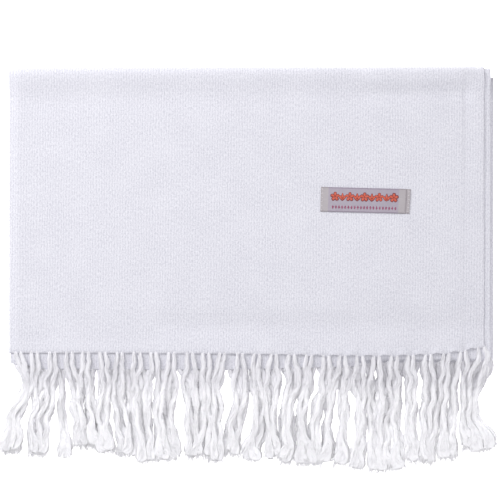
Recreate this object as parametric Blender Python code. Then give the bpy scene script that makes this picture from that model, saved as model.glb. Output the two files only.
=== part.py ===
# A fringed shawl, folded once along its length and three times across, lying flat.
# +Z is up, +X runs from the left fold to the selvedges, +Y from the fringes to the top fold.
# Lengths below are in millimetres; MM turns them into metres where points are made.
import bisect
import math
import random
from collections import namedtuple

import bmesh
import bpy
import numpy as np

MM = 0.001

# The cut without its fringes, and the folded size that follows from it.
CLOTH_LENGTH = 1700.0
CROSS_FOLDS = 3
FOLDED_LENGTH = CLOTH_LENGTH / 2**CROSS_FOLDS
UPPER_LEFT = -175.4  # the left fold's outermost line
UPPER_RIGHT = 175.2  # the upper sheet's selvedge
SECOND_RIGHT = 180.0  # the second sheet's selvedge, which shows beside the upper one

# The stack of sheets.
STACK = 13.8  # height of all sixteen sheets where they lie flat
WALL = 1.0  # thickness of a sheet that shows
GAP = 0.3  # between neighbouring pieces
PITCH = WALL + GAP
TURN_RADIUS = STACK / 2  # outside of the top fold
TURN_Y = FOLDED_LENGTH / 2 - TURN_RADIUS  # where the flat rows end and the top fold begins
TURN_STEPS = 8
ROLL_OUTER = WALL + GAP / 2  # outside of the tight fold at the left
ROLL_INNER = GAP / 2
ROLL_STEPS = 4
ROLL_X = UPPER_LEFT + ROLL_OUTER

# Grid lines shared by every layer, so that the gaps between them stay even.
FLAT_ROWS = (93, 86, 78, 66, 48, 26, 4, -18, -40, -58, -70, -80, -89, -98)
EDGE_COLUMNS_LEFT = (-171, -166, -158, -147)
MIDDLE_COLUMNS = 9
MIDDLE_FROM = -128.0
MIDDLE_TO = 138.0
EDGE_COLUMNS_RIGHT = (152, 158.5, 161.5, 169)

# Soft ridges (+) and troughs (-) of the top surface, each along a line, with a rounded section.
Crease = namedtuple("Crease", "x0 y0 x1 y1 width height")
CREASES = (
    Crease(-190, 99, 190, 101, 10, 2.3),  # the roll over the top fold
    Crease(95, 95, 158, 98, 7, 0.8),  # its higher stretch at the right
    Crease(-150, 80, 150, 84, 9, -0.5),  # the trough below it
    Crease(-167, 90, -167, -100, 6, 0.8),  # the left fold, fuller than the cloth beside it
    Crease(-60, -87, 172, -86, 9, -0.9),  # the trough above the hem
    Crease(-176, -104, 150, -105, 7, 0.6),  # the hem's own ridge
    Crease(173, 90, 173, 30, 7, 0.7),  # puckered selvedge
)
LEFT_DROP = 1.6  # how far the surface rounds down to the left fold
LEFT_DROP_WIDTH = 8.0
STEP_X = 160.0  # an inner selvedge ends here, and the surface steps down
STEP_DROP = 0.6
STEP_WIDTH = 2.5
FRONT_DROP = 1.6  # how far the surface sinks beyond the upper hem
FRONT_DROP_FROM = -104.0
FRONT_DROP_TO = -122.0

# The two hems that show, from the left fold to the selvedge.
Hem = namedtuple("Hem", "x upper second")
HEMS = (
    Hem(-175, -106.1, -113.5),
    Hem(-166, -106.1, -115.0),
    Hem(-150, -106.0, -118.2),
    Hem(-90, -106.1, -118.7),
    Hem(0, -107.0, -118.7),
    Hem(60, -108.6, -116.8),
    Hem(110, -109.0, -116.2),
    Hem(140, -107.5, -115.8),
    Hem(158, -105.5, -115.2),
    Hem(168, -103.6, -114.6),
    Hem(176, -101.5, -114.0),
)
HEM_SHARES = (0.0, 0.35, 1.0)  # rows of the second sheet between the two hems

# The hidden sheets: doubled bands, one inside the other round the top fold.
HIDDEN_DEPTH = 2 * PITCH
HIDDEN_FRONT = -111.0
HIDDEN_LEFT = -173.6
HIDDEN_RIGHT = 178.2
RIGHT_SPREAD = 6.5  # how much further the lowest sheets reach than the highest
CORE_HALF = 0.9  # half height of what is left at the middle of the bands
FLOOR_STEP = 0.1  # how far the first band's underside stays below its share of the rise
FRONT_SET_BACK = 0.4  # of the bands' fronts behind the lobes
Band = namedtuple("Band", "share left right")
BANDS = (  # share of the way from the outside to the core, and how far each end is set back
    Band(0.02, 1.6, 2.0),
    Band(0.17, -0.2, 0.2),
    Band(0.33, 1.4, 2.4),
    Band(0.50, 0.5, 2.0),
    Band(0.66, 1.8, 4.0),
    Band(0.83, 0.2, -0.8),
    Band(1.00, 0.9, 0.3),
)
Lobe = namedtuple("Lobe", "height bulge")
LOBES = (  # the folded front edges, from the top down
    Lobe(8.5, 0.0),
    Lobe(8.0, 0.5),
    Lobe(7.2, 1.8),
    Lobe(6.1, 0.6),
    Lobe(5.4, 0.5),
    Lobe(4.2, 2.2),
    Lobe(2.4, 2.6),
    Lobe(0.8, 1.6),
)

# The label, corner by corner from its upper left, clockwise.
LABEL_CORNERS = ((54.9, 17.0), (120.9, 15.3), (119.8, -2.8), (54.4, -1.2))
LABEL_COLUMNS = 8
LABEL_ROWS = 3

# The fringes: rows of tassels, each row on a narrow strip in front of its own hem.
TASSELS = 28
TASSEL_FIRST = -169.0
TASSEL_LAST = 172.0
STRAND_PITCH = 3.8  # between the two strands of a tassel, at its neck
STRIP_BEYOND = 0.8  # how far a strip runs past its outer strands
STRIP_FRONT = GAP + 1.5  # from the hem to the front of a strip
NECK_WIDTH = 2.4
FRINGE_SPAN = 90.0  # hem to tip of a middling tassel
SHAFT_SPACING = 3.6
TUFT_SPACING = 4.1
SPREAD_PASSES = 200  # enough for a whole row to find its spacing
FLOOR_CLEARANCE = 0.4
SIDE_CLEARANCE = 0.5
REST_SLOPE = 0.5  # steepest rise and fall where a strand crosses another
SAMPLES = 7  # between two stations, when strands are laid on each other
LENGTH_VARIATION = 3.0
ROOT_VARIATION = 0.8
SEED = 11
Station = namedtuple("Station", "along width height")
STRAND_STATIONS = (  # from the neck to the tuft
    Station(0.10, 2.6, 1.6),
    Station(0.26, 2.8, 1.8),
    Station(0.45, 2.8, 1.8),
    Station(0.66, 2.8, 1.8),
    Station(0.87, 3.4, 1.9),
    Station(1.00, 3.0, 1.3),
)
# Locks that the tassels gather into: their stretch of hem, where that stretch lies half way
# down and at the tips, and how far below the upper hem the tips reach.
Lock = namedtuple("Lock", "hem0 hem1 half0 half1 tip0 tip1 reach")
LOCKS = (
    Lock(-176, -154, -176, -163, -183, -167, 76),
    Lock(-154, -140, -160, -145, -160, -149, 76),
    Lock(-140, -130, -142, -131, -143, -129, 79),
    Lock(-130, -110, -130, -116, -128, -110, 71),
    Lock(-110, -98, -114, -107, -112, -99, 75),
    Lock(-98, -81, -99, -84, -95, -81, 77),
    Lock(-81, -70, -83, -72, -81, -70, 83),
    Lock(-70, -52, -70, -55, -70, -57, 81),
    Lock(-52, -36, -47, -35, -47, -36, 77),
    Lock(-36, -16, -34, -18, -35, -18, 80),
    Lock(-16, 0, -12, -1, -17, -6, 76),
    Lock(0, 22, 6, 20, -4, 12, 82),
    Lock(22, 39, 20, 33, 15, 37, 81),
    Lock(39, 58, 36, 46, 38, 49, 84),
    Lock(58, 70, 53, 64, 50, 65, 85),
    Lock(70, 81, 70, 77, 67, 78, 84),
    Lock(81, 92, 83, 90, 79, 87, 82),
    Lock(92, 104, 90, 102, 87, 101, 91),
    Lock(104, 116, 103, 113, 102, 114, 85),
    Lock(116, 131, 119, 128, 116, 128, 84),
    Lock(131, 147, 129, 144, 128, 142, 85),
    Lock(147, 161, 145, 157, 142, 159, 83),
    Lock(161, 180, 159, 173, 162, 184, 73),
)
# One row of tassels for each fringed sheet: depth of its sheet under the top surface, how far
# its tassels stand aside from the upper row's, how far they take to come down, and their
# strands. The two rows that show have two slim strands a tassel, the others one thick one.
FringeRow = namedtuple("FringeRow", "name depth aside descent strands girth")
FRINGE_ROWS = (  # from the lowest up
    FringeRow("fourth_fringe", 4.3, 0.42, 20.0, 1, 1.6),
    FringeRow("third_fringe", 2.95, -0.05, 21.0, 1, 1.6),
    FringeRow("second_fringe", PITCH, -0.09, 26.0, 2, 1.0),
    FringeRow("upper_fringe", 0.0, 0.0, 42.0, 2, 1.0),
)

CLOTH_COLOUR = (0.80, 0.80, 0.86, 1.0)
FRINGE_COLOUR = (0.86, 0.86, 0.90, 1.0)
LABEL_COLOUR = (0.42, 0.36, 0.42, 1.0)
CLOTH_ROUGHNESS = 0.85
LABEL_ROUGHNESS = 0.5


def smooth_step(t):
    t = min(max(t, 0.0), 1.0)
    return t * t * (3 - 2 * t)


def blend(a, b, t):
    return a + (b - a) * t


def hem_at(x, which):
    """Y of a hem, read between the rows of HEMS."""
    return float(np.interp(x, [h.x for h in HEMS], [getattr(h, which) for h in HEMS]))


def relief(x, y):
    """Height of the top surface above or below the flat stack."""
    total = 0.0
    for c in CREASES:
        run_x, run_y = c.x1 - c.x0, c.y1 - c.y0
        along = ((x - c.x0) * run_x + (y - c.y0) * run_y) / (run_x**2 + run_y**2)
        along = min(max(along, 0.0), 1.0)
        away = math.hypot(x - c.x0 - along * run_x, y - c.y0 - along * run_y)
        total += c.height * math.exp(-((away / c.width) ** 2))
    total -= LEFT_DROP * smooth_step((UPPER_LEFT + LEFT_DROP_WIDTH - x) / LEFT_DROP_WIDTH)
    total -= STEP_DROP * smooth_step((x - STEP_X) / STEP_WIDTH + 0.5)
    total -= FRONT_DROP * smooth_step((FRONT_DROP_FROM - y) / (FRONT_DROP_FROM - FRONT_DROP_TO))
    return total


def lift(x, y, z):
    """Stretches a height in the flat stack so that the stack's top follows the relief."""
    return z * (1 + relief(x, y) / STACK)


def on_path(x, row_y, angle, depth):
    """A point of the folded stack, depth below its outer surface, at a flat row or in the turn."""
    radius = TURN_RADIUS - depth
    y = row_y + radius * math.sin(angle)
    z = TURN_RADIUS + radius * math.cos(angle)
    return (x * MM, y * MM, lift(x, row_y, z) * MM)


def turn_angles():
    return [math.pi * k / TURN_STEPS for k in range(TURN_STEPS, -1, -1)]


def shared_columns():
    step = (MIDDLE_TO - MIDDLE_FROM) / (MIDDLE_COLUMNS - 1)
    middle = [MIDDLE_FROM + step * k for k in range(MIDDLE_COLUMNS)]
    return list(EDGE_COLUMNS_LEFT) + middle + list(EDGE_COLUMNS_RIGHT)


def between_columns(value, x):
    """What a sheet has at x: the values at its columns, with straight runs between them."""
    columns = [ROLL_X] + shared_columns() + [UPPER_RIGHT, SECOND_RIGHT]
    k = min(max(bisect.bisect(columns, x), 1), len(columns) - 1)
    share = (x - columns[k - 1]) / (columns[k] - columns[k - 1])
    return blend(value(columns[k - 1]), value(columns[k]), share)


def add_node(name, bm, colour, roughness):
    """Puts a finished mesh in the scene under its name, with a material of its own."""
    bmesh.ops.recalc_face_normals(bm, faces=bm.faces[:])
    mesh = bpy.data.meshes.new(name)
    bm.to_mesh(mesh)
    bm.free()
    node = bpy.data.objects.new(name, mesh)
    bpy.context.scene.collection.objects.link(node)
    material = bpy.data.materials.new(name + "_finish")
    material.use_nodes = True
    shader = material.node_tree.nodes["Principled BSDF"]
    shader.inputs["Base Color"].default_value = colour
    shader.inputs["Roughness"].default_value = roughness
    shader.inputs["Metallic"].default_value = 0.0
    mesh.materials.append(material)


def split_quad(bm, a, b, c, d):
    """Two triangles that share the a-c diagonal, the same one on every layer."""
    bm.faces.new((a, b, c))
    bm.faces.new((a, c, d))


def wall(bm, outer, inner):
    """A closed wall between two grids of points with the same rows and columns."""
    outer = [[bm.verts.new(p) for p in row] for row in outer]
    inner = [[bm.verts.new(p) for p in row] for row in inner]
    last_row = len(outer) - 1
    last_column = len(outer[0]) - 1
    for j in range(last_row):
        for i in range(last_column):
            for side in (outer, inner):
                split_quad(bm, side[j][i], side[j][i + 1], side[j + 1][i + 1], side[j + 1][i])
        for i in (0, last_column):
            split_quad(bm, outer[j][i], outer[j + 1][i], inner[j + 1][i], inner[j][i])
    for i in range(last_column):
        for j in (0, last_row):
            split_quad(bm, outer[j][i], outer[j][i + 1], inner[j][i + 1], inner[j][i])


def tube(bm, rings):
    """A closed body through rings of equal count, its ends filled."""
    rings = [[bm.verts.new(p) for p in ring] for ring in rings]
    count = len(rings[0])
    for one, two in zip(rings, rings[1:]):
        for k in range(count):
            n = (k + 1) % count
            split_quad(bm, one[k], one[n], two[n], two[k])
    ends = [bm.faces.new(rings[0]), bm.faces.new(rings[-1])]
    bmesh.ops.triangulate(bm, faces=ends)


# A sheet's cross-section: for each column the outer and inner point, as x and depth, and how
# far its front end has passed from the upper hem to the second one.
Column = namedtuple("Column", "outer_x outer_depth inner_x inner_depth hem_share")


def flat_column(x, depth, hem_share):
    return Column(x, depth, x, depth + WALL, hem_share)


def roll_column(angle):
    sine, cosine = math.sin(angle), math.cos(angle)
    return Column(
        ROLL_X - ROLL_OUTER * sine,
        ROLL_OUTER - ROLL_OUTER * cosine,
        ROLL_X - ROLL_INNER * sine,
        ROLL_OUTER - ROLL_INNER * cosine,
        angle / math.pi,
    )


def sheet_walls(columns, extra_rows):
    """Outer and inner grids: up the turn behind, along the flat rows, then to the hem."""
    outer, inner = [], []
    for angle in turn_angles():
        outer.append([on_path(c.outer_x, TURN_Y, angle, c.outer_depth) for c in columns])
        inner.append([on_path(c.inner_x, TURN_Y, angle, c.inner_depth) for c in columns])
    for row in FLAT_ROWS:
        outer.append([on_path(c.outer_x, row, 0.0, c.outer_depth) for c in columns])
        inner.append([on_path(c.inner_x, row, 0.0, c.inner_depth) for c in columns])
    for row_of in extra_rows:
        rows = [row_of(c) for c in columns]
        outer.append([on_path(c.outer_x, y, 0.0, c.outer_depth) for c, y in zip(columns, rows)])
        inner.append([on_path(c.inner_x, y, 0.0, c.inner_depth) for c, y in zip(columns, rows)])
    return outer, inner


def front_y(x, share):
    """Y at a share of the way from the upper hem to the second one."""
    return blend(hem_at(x, "upper"), hem_at(x, "second"), share)


def make_upper_layer():
    turns = range(ROLL_STEPS, 0, -1)
    columns = [roll_column(math.pi * k / ROLL_STEPS) for k in turns]
    xs = [ROLL_X] + shared_columns() + [UPPER_RIGHT]
    columns += [flat_column(x, 0.0, 0.0) for x in xs]
    bm = bmesh.new()
    wall(bm, *sheet_walls(columns, [lambda c: front_y(c.outer_x, c.hem_share)]))
    add_node("upper_layer", bm, CLOTH_COLOUR, CLOTH_ROUGHNESS)


def make_second_layer():
    xs = [ROLL_X + GAP] + shared_columns() + [UPPER_RIGHT, SECOND_RIGHT]
    columns = [flat_column(x, PITCH, 1.0) for x in xs]
    bm = bmesh.new()
    rows = [lambda c, share=share: front_y(c.outer_x, share) for share in HEM_SHARES]
    wall(bm, *sheet_walls(columns, rows))
    add_node("second_layer", bm, CLOTH_COLOUR, CLOTH_ROUGHNESS)


def hidden_ring(place_x, share, floor_share=1.0):
    """A section of the hidden bands. Share runs from 0, their outside, to 1, their core.

    floor_share is 0 where the section stands on the floor over its whole length.
    """
    depth = HIDDEN_DEPTH + share * (TURN_RADIUS - HIDDEN_DEPTH - CORE_HALF)
    top = STACK - depth
    floor = (depth - FLOOR_STEP) * floor_share
    radius = TURN_RADIUS - depth

    def at(y, z, beyond=0.0):
        x = place_x(z)
        return (x * MM, (y + beyond) * MM, lift(x, y, z) * MM)

    behind = TURN_Y - GAP
    front = HIDDEN_FRONT + (FRONT_SET_BACK + share if share else 0.0)
    ring = [at(front, floor), at(0, floor), at(behind, floor), at(behind, depth)]
    for angle in turn_angles():
        ring.append(at(TURN_Y, TURN_RADIUS + radius * math.cos(angle), radius * math.sin(angle)))
    ring += [at(y, top) for y in FLAT_ROWS]
    ring.append(at(hem_at(place_x(top), "upper"), top))
    ring.append(at(front, top))
    for lobe in LOBES:
        z = blend(floor, top, lobe.height / (STACK - HIDDEN_DEPTH))
        ring.append(at(front, z, 0.0 if share else -lobe.bulge))
    return ring


def make_hidden_layers():
    def left_end(set_back):
        return lambda z: HIDDEN_LEFT + set_back

    def right_end(set_back):
        return lambda z: HIDDEN_RIGHT + RIGHT_SPREAD * (1 - z / STACK) - set_back

    rings = [hidden_ring(left_end(band.left), band.share) for band in reversed(BANDS)]
    rings.append(hidden_ring(left_end(0.0), 0.0, 0.0))
    for column in shared_columns() + [UPPER_RIGHT]:
        rings.append(hidden_ring(lambda z, x=column: x, 0.0, 0.0))
    rings.append(hidden_ring(right_end(0.0), 0.0, 0.0))
    rings += [hidden_ring(right_end(band.right), band.share) for band in BANDS]
    bm = bmesh.new()
    tube(bm, rings)
    add_node("hidden_layers", bm, CLOTH_COLOUR, CLOTH_ROUGHNESS)


def make_label():
    """A thin pad over the upper sheet, its grid read between the label's four corners."""
    grids = []
    for height in (GAP + WALL, GAP):
        grid = []
        for j in range(LABEL_ROWS):
            row = []
            for i in range(LABEL_COLUMNS):
                across, down = i / (LABEL_COLUMNS - 1), j / (LABEL_ROWS - 1)
                above = [blend(LABEL_CORNERS[0][k], LABEL_CORNERS[1][k], across) for k in (0, 1)]
                below = [blend(LABEL_CORNERS[3][k], LABEL_CORNERS[2][k], across) for k in (0, 1)]
                x, y = (blend(above[k], below[k], down) for k in (0, 1))
                row.append((x * MM, y * MM, (lift(x, y, STACK) + height) * MM))
            grid.append(row)
        grids.append(grid)
    bm = bmesh.new()
    wall(bm, *grids)
    add_node("label", bm, LABEL_COLOUR, LABEL_ROUGHNESS)


def spread(places, least):
    """Moves neighbours apart, by equal shares, until each pair is at least that far apart."""
    places = list(places)
    for _ in range(SPREAD_PASSES):
        for k in range(len(places) - 1):
            short = least - (places[k + 1] - places[k])
            if short > 0:
                places[k] -= short / 2
                places[k + 1] += short / 2
    return places


def lock_of(x):
    for lock in LOCKS:
        if x < lock.hem1:
            return lock
    return LOCKS[-1]


def strip_point(row, x, beyond, z):
    """Y and height, level with a row's own sheet, at a distance in front of its hem."""

    def at(column):
        if row.name == "upper_fringe":
            y = hem_at(column, "upper") - beyond
        elif row.name == "second_fringe":
            y = hem_at(column, "second") - beyond
        else:
            y = HIDDEN_FRONT - beyond
        return np.array((y, lift(column, y, z)))

    return between_columns(at, x)


def row_necks(row, chance):
    """X of each strand's neck on the strip, tassel by tassel."""
    step = (TASSEL_LAST - TASSEL_FIRST) / (TASSELS - 1)
    necks = []
    for n in range(TASSELS):
        centre = TASSEL_FIRST + (n + row.aside) * step
        centre += chance.uniform(-ROOT_VARIATION, ROOT_VARIATION)
        for k in range(row.strands):
            necks.append(centre + (k - (row.strands - 1) / 2) * STRAND_PITCH)
    return necks


# A strand's way down: its neck's x on the strip, the x that pulls its middle and that of its
# tip, and its length.
Way = namedtuple("Way", "neck pull tip length")


def row_ways(row, chance):
    """The ways of one row's strands, gathered into the locks and kept in order."""
    shaft, tuft = SHAFT_SPACING * row.girth, TUFT_SPACING * row.girth
    necks = row_necks(row, chance)
    pulls, tips, lengths = [], [], []
    for neck in necks:
        lock = lock_of(neck)
        share = (neck - lock.hem0) / (lock.hem1 - lock.hem0)
        middle = blend(lock.half0 + shaft / 2, lock.half1 - shaft / 2, share)
        tip = blend(lock.tip0 + tuft / 2, lock.tip1 - tuft / 2, share)
        tips.append(tip)
        pulls.append(2 * middle - (neck + tip) / 2)
        start = hem_at(0, "upper") - strip_point(row, neck, STRIP_FRONT, 0.0)[0]
        lengths.append(lock.reach - start - chance.uniform(0, LENGTH_VARIATION))
    pulls = spread(pulls, shaft)
    tips = spread(tips, tuft)
    return [Way(*w) for w in zip(necks, pulls, tips, lengths)]


def way_x(way, drop):
    t = drop / FRINGE_SPAN
    return (1 - t) ** 2 * way.neck + 2 * t * (1 - t) * way.pull + t * t * way.tip


def cloth_below(row, x, y):
    """Top of the second sheet and its strip, which the upper row's strands lie across."""
    if row.name != "upper_fringe":
        return 0.0

    def at(column):
        rows = [front_y(column, share) for share in reversed(HEM_SHARES)]
        heights = [lift(column, row, STACK - PITCH) for row in rows]
        return np.array((rows[0], np.interp(y, rows, heights)))

    second, height = between_columns(at, x)
    return height if y > second - STRIP_FRONT - SIDE_CLEARANCE else 0.0


def laid_strand(row, way, placed):
    """Rings of one strand as (x, y, z, width, height), lowered until it rests on what is below.

    placed holds the strands that lie already: x, y, top and half width of closely spaced points.
    """
    front, neck_z = strip_point(row, way.neck, STRIP_FRONT, STACK - row.depth - WALL / 2)
    rings = [(way.neck, front, neck_z, NECK_WIDTH * row.girth, WALL)]
    for s in STRAND_STATIONS:
        drop = s.along * way.length
        rings.append((way_x(way, drop), front - drop, 0.0, s.width * row.girth, s.height))
    rings = np.array(rings)
    drops = front - rings[:, 1]
    lying = FLOOR_CLEARANCE + rings[:, 4] / 2
    fall = np.array([smooth_step(d / row.descent) for d in drops])
    heights = neck_z + (lying - neck_z) * fall
    needs = np.zeros(len(rings))
    for k in range(len(rings) - 1):
        for t in np.linspace(0, 1, SAMPLES):
            x, y, _, width, height = blend(rings[k], rings[k + 1], t)
            top = cloth_below(row, x, y)
            if len(placed):
                away = np.hypot(placed[:, 0] - x, placed[:, 1] - y)
                under = away < placed[:, 3] + width / 2 + SIDE_CLEARANCE
                if under.any():
                    top = max(top, placed[under, 2].max())
            if top > 0:
                need = top + GAP + height / 2
                needs[k] = max(needs[k], need)
                needs[k + 1] = max(needs[k + 1], need)
    heights[1:] = np.maximum(heights, needs)[1:]
    for order in (range(2, len(rings)), range(len(rings) - 2, 0, -1)):
        for k in order:
            near = k - 1 if order.step > 0 else k + 1
            reach = abs(rings[near, 1] - rings[k, 1])
            heights[k] = max(heights[k], heights[near] - REST_SLOPE * reach)
    rings[:, 2] = heights
    return rings


def covered_points(rings):
    points = []
    for one, two in zip(rings, rings[1:]):
        for t in np.linspace(0, 1, SAMPLES):
            x, y, z, width, height = blend(one, two, t)
            points.append((x, y, z + height / 2, width / 2))
    return points


def make_fringe(row, chance, placed):
    """A row of strands drawn out of the front of one narrow strip."""
    ways = row_ways(row, chance)
    strands = [laid_strand(row, way, placed) for way in ways]
    bm = bmesh.new()
    edges = []
    half_neck = NECK_WIDTH * row.girth / 2
    for way in ways:
        edges += [way.neck - half_neck, way.neck + half_neck]
    edges = [edges[0] - STRIP_BEYOND] + edges + [edges[-1] + STRIP_BEYOND]
    rings = []
    for x in edges:
        low, high = STACK - row.depth - WALL, STACK - row.depth
        corners = ((GAP, low), (STRIP_FRONT, low), (STRIP_FRONT, high), (GAP, high))
        points = [strip_point(row, x, beyond, z) for beyond, z in corners]
        rings.append([bm.verts.new((x * MM, y * MM, z * MM)) for y, z in points])
    for k, (one, two) in enumerate(zip(rings, rings[1:])):
        for a, b in ((0, 1), (1, 2), (2, 3), (3, 0)):
            if (a, b) != (1, 2) or k % 2 == 0:
                split_quad(bm, one[a], one[b], two[b], two[a])
    bm.faces.new(rings[0])
    bm.faces.new(rings[-1])
    for k, strand in enumerate(strands):
        left, right = rings[2 * k + 1], rings[2 * k + 2]
        last = [left[1], right[1], right[2], left[2]]
        for x, y, z, width, height in strand[1:]:
            sides = ((0, -height / 2), (width / 2, 0), (0, height / 2), (-width / 2, 0))
            ring = [bm.verts.new(((x + i) * MM, y * MM, (z + j) * MM)) for i, j in sides]
            for a in range(4):
                b = (a + 1) % 4
                split_quad(bm, last[a], last[b], ring[b], ring[a])
            last = ring
        bm.faces.new(last)
    add_node(row.name, bm, FRINGE_COLOUR, CLOTH_ROUGHNESS)
    return [point for strand in strands for point in covered_points(strand)]


def main():
    for old in list(bpy.data.objects):
        bpy.data.objects.remove(old)
    make_upper_layer()
    make_second_layer()
    make_hidden_layers()
    make_label()
    chance = random.Random(SEED)
    placed = []
    for row in FRINGE_ROWS:
        placed += make_fringe(row, chance, np.array(placed))


main()
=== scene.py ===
import math
import random

import bmesh
import bpy
import numpy as np
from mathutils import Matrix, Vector, noise


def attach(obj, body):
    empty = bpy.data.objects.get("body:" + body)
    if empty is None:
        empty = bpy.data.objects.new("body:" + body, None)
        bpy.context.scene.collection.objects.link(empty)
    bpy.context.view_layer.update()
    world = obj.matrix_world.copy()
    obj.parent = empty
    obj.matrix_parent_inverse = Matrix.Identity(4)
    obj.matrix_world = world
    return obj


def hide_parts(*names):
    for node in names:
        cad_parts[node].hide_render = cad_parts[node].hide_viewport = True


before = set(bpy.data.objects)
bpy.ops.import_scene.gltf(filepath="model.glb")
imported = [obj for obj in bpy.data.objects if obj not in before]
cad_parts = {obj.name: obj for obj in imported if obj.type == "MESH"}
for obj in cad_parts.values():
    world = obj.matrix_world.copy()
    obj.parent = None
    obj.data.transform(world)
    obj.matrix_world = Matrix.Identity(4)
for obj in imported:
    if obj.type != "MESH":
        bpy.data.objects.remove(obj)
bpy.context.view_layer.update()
mm = 0.001
print("frame loaded")

# The fold, in millimetres. +X runs from the left fold to the selvedges, +Y from the hems to the top fold.
fold = {
    "stack": 13.8,  # height of the sixteen sheets
    "wall": 1.0,
    "gap": 0.3,  # between the hidden sheets' front and the strips of their fringes
    "pitch": 1.3,  # from one sheet that shows to the next
    "turnRadius": 6.9,  # outside of the top fold
    "turnY": 99.35,  # where the flat part ends and the top fold begins
    "rollX": -174.25,  # where the flat part ends and the left fold begins
    "rollRadius": 1.15,
    "left": -175.4,
    "upperRight": 175.2,
    "secondRight": 180.0,
    "hiddenFront": -111.0,
    "floorGap": 0.02,  # the cloth stays this far above the floor
}

# The two hems that show: x, upper hem's y, second hem's y.
hemTable = [
    (-175, -106.1, -113.5),
    (-166, -106.1, -115.0),
    (-150, -106.0, -118.2),
    (-90, -106.1, -118.7),
    (0, -107.0, -118.7),
    (60, -108.6, -116.8),
    (110, -109.0, -116.2),
    (140, -107.5, -115.8),
    (158, -105.5, -115.2),
    (168, -103.6, -114.6),
    (176, -101.5, -114.0),
]

# Ridges (+) and troughs (-): x0, y0, x1, y1, width, height.
creaseTable = [
    (-190, 99, 190, 101, 10, 2.5),  # the roll over the top fold
    (95, 95, 158, 98, 7, 1.3),  # fuller towards the right
    (-150, 80, 150, 84, 9, -0.6),
    (-167, 90, -167, -100, 6, 0.45),  # the left fold, fuller than the cloth beside it
    (-60, -86, 172, -85, 9, -1.65),  # the trough above the hem
    (-176, -104, 150, -105, 7, 0.6),
    (173, 90, 173, 30, 7, 0.7),
    (-137.5, 50, -104, 53, 1.6, 0.22),  # three fine creases
    (109.4, 40.5, 142.6, 45.7, 1.8, 0.2),
    (135.2, 28, 175.8, 40.5, 1.8, 0.22),
    (84, 86, 160, 86, 6, -0.9),  # the dip under the top fold, at the right
]

surface = {
    "creaseReach": 3.0,  # a crease ends this many widths from its line
    "leftDrop": 1.1,
    "leftDropWidth": 8.0,
    "stepX": 160.0,  # an inner selvedge ends here, and the surface steps down
    "stepDrop": 0.6,
    "stepWidth": 2.5,
    "frontDrop": 1.6,
    "frontFrom": -104.0,
    "frontTo": -122.0,
}

tassels = {
    "count": 28,
    "first": -169.0,
    "last": 172.0,
    "aside": 2.0,  # of each of a tassel's two strands from its middle
    "jitter": 0.9,
    "neckJitter": 0.3,
    "seed": 11,
}
tasselPitch = (tassels["last"] - tassels["first"]) / (tassels["count"] - 1)


def mix(a, b, share):
    return a + (b - a) * share


def smoothStep(share):
    share = min(max(share, 0.0), 1.0)
    return share * share * (3 - 2 * share)


hemX, upperHem, secondHem = zip(*hemTable)


def hemAt(x, which):
    return float(np.interp(x, hemX, upperHem if which == "upper" else secondHem))


def relief(x, y):  # the top surface above or below the flat stack
    s = surface
    total = 0.0
    for x0, y0, x1, y1, width, height in creaseTable:
        runX = x1 - x0
        runY = y1 - y0
        along = ((x - x0) * runX + (y - y0) * runY) / (runX * runX + runY * runY)
        along = min(max(along, 0.0), 1.0)
        away = math.hypot(x - x0 - along * runX, y - y0 - along * runY)
        if away < s["creaseReach"] * width:
            total += height * math.exp(-((away / width) ** 2))
    total -= s["leftDrop"] * smoothStep((fold["left"] + s["leftDropWidth"] - x) / s["leftDropWidth"])
    total -= s["stepDrop"] * smoothStep((x - s["stepX"]) / s["stepWidth"] + 0.5)
    total -= s["frontDrop"] * smoothStep((s["frontFrom"] - y) / (s["frontFrom"] - s["frontTo"]))
    return total


def lift(x, y, z):
    return z * (1 + relief(x, y) / fold["stack"])


def ripple(x, y, seed, reach):  # soft unevenness, from -1 to 1, with bumps about reach apart
    return noise.noise(Vector((x / reach, y / reach, seed)))


def addNode(tree, kind, inputs=None, **settings):
    # Each input is given as a value or as another node's output.
    node = tree.nodes.new(kind)
    for name, value in settings.items():
        setattr(node, name, value)
    for name, value in (inputs or {}).items():
        if isinstance(value, bpy.types.NodeSocket):
            tree.links.new(value, node.inputs[name])
        else:
            node.inputs[name].default_value = value
    return node


shaderSockets = {
    "roughness": "Roughness",
    "sheen": "Sheen Weight",
    "specular": "Specular IOR Level",
    "glow": "Emission Strength",
}


def shaderMaterial(name, color, settings):
    material = bpy.data.materials.new(name)
    material.use_nodes = True
    shader = material.node_tree.nodes["Principled BSDF"]
    shader.inputs["Base Color"].default_value = (*color, 1.0)
    for key, socket in shaderSockets.items():
        if key in settings:
            shader.inputs[socket].default_value = settings[key]
    return material, material.node_tree, shader


def clothPlace(tree):  # a place on the piece's own flat map
    return addNode(tree, "ShaderNodeUVMap", uv_map="clothMap").outputs["UV"]


def mapped(tree, source, scale, turn=0.0):  # a pattern's coordinates, in repeats per unit
    inputs = {"Scale": scale, "Rotation": (0, 0, turn), "Vector": source}
    return addNode(tree, "ShaderNodeMapping", inputs).outputs["Vector"]


def noiseOn(tree, vector, detail=2.0, rough=0.6):
    inputs = {"Scale": 1.0, "Detail": detail, "Roughness": rough, "Vector": vector}
    return addNode(tree, "ShaderNodeTexNoise", inputs).outputs["Fac"]


def mathNode(tree, operation, a, b):
    return addNode(tree, "ShaderNodeMath", {0: a, 1: b}, operation=operation).outputs[0]


def mixedColor(tree, factor, a, b, blend="MIX"):
    inputs = {"Factor": factor, "A": a, "B": b}
    return addNode(tree, "ShaderNodeMix", inputs, data_type="RGBA", blend_type=blend).outputs["Result"]


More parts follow.
